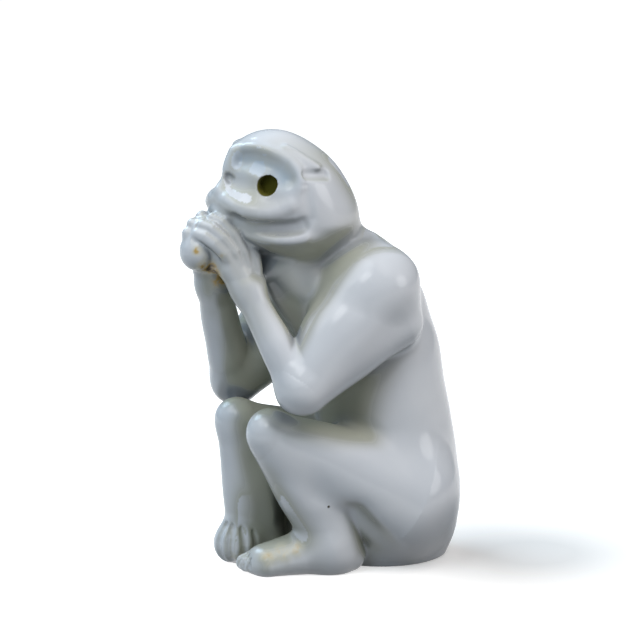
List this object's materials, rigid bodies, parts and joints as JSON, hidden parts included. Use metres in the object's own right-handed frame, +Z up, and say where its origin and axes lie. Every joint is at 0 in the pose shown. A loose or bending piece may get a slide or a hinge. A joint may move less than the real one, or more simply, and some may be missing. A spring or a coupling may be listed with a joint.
{
  "type": "monkey figurine",
  "caption": "Hollow glazed porcelain monkey ornament, seated with elbows on its knees and its hands clasped before its mouth.",
  "frame": {"origin": "middle of the base plate's underside, on the surface that the figure stands on", "axes": "+Z up, the monkey faces -Y and its left side is +X"},
  "size_m": [0.0722, 0.1018, 0.1501],
  "materials": {
    "glaze": "glossy cool white porcelain glaze",
    "bisque": "bare fired clay"
  },
  "bodies": {
    "root": {"torso_front": "glaze", "torso_back": "glaze", "base_plate": "bisque", "face_shell": "glaze", "skull_shell": "glaze", "left_arm": "glaze", "right_arm": "glaze", "left_hand": "glaze", "right_hand": "glaze", "left_leg": "glaze", "right_leg": "glaze", "left_foot": "glaze", "right_foot": "glaze"}
  },
  "joints": []
}
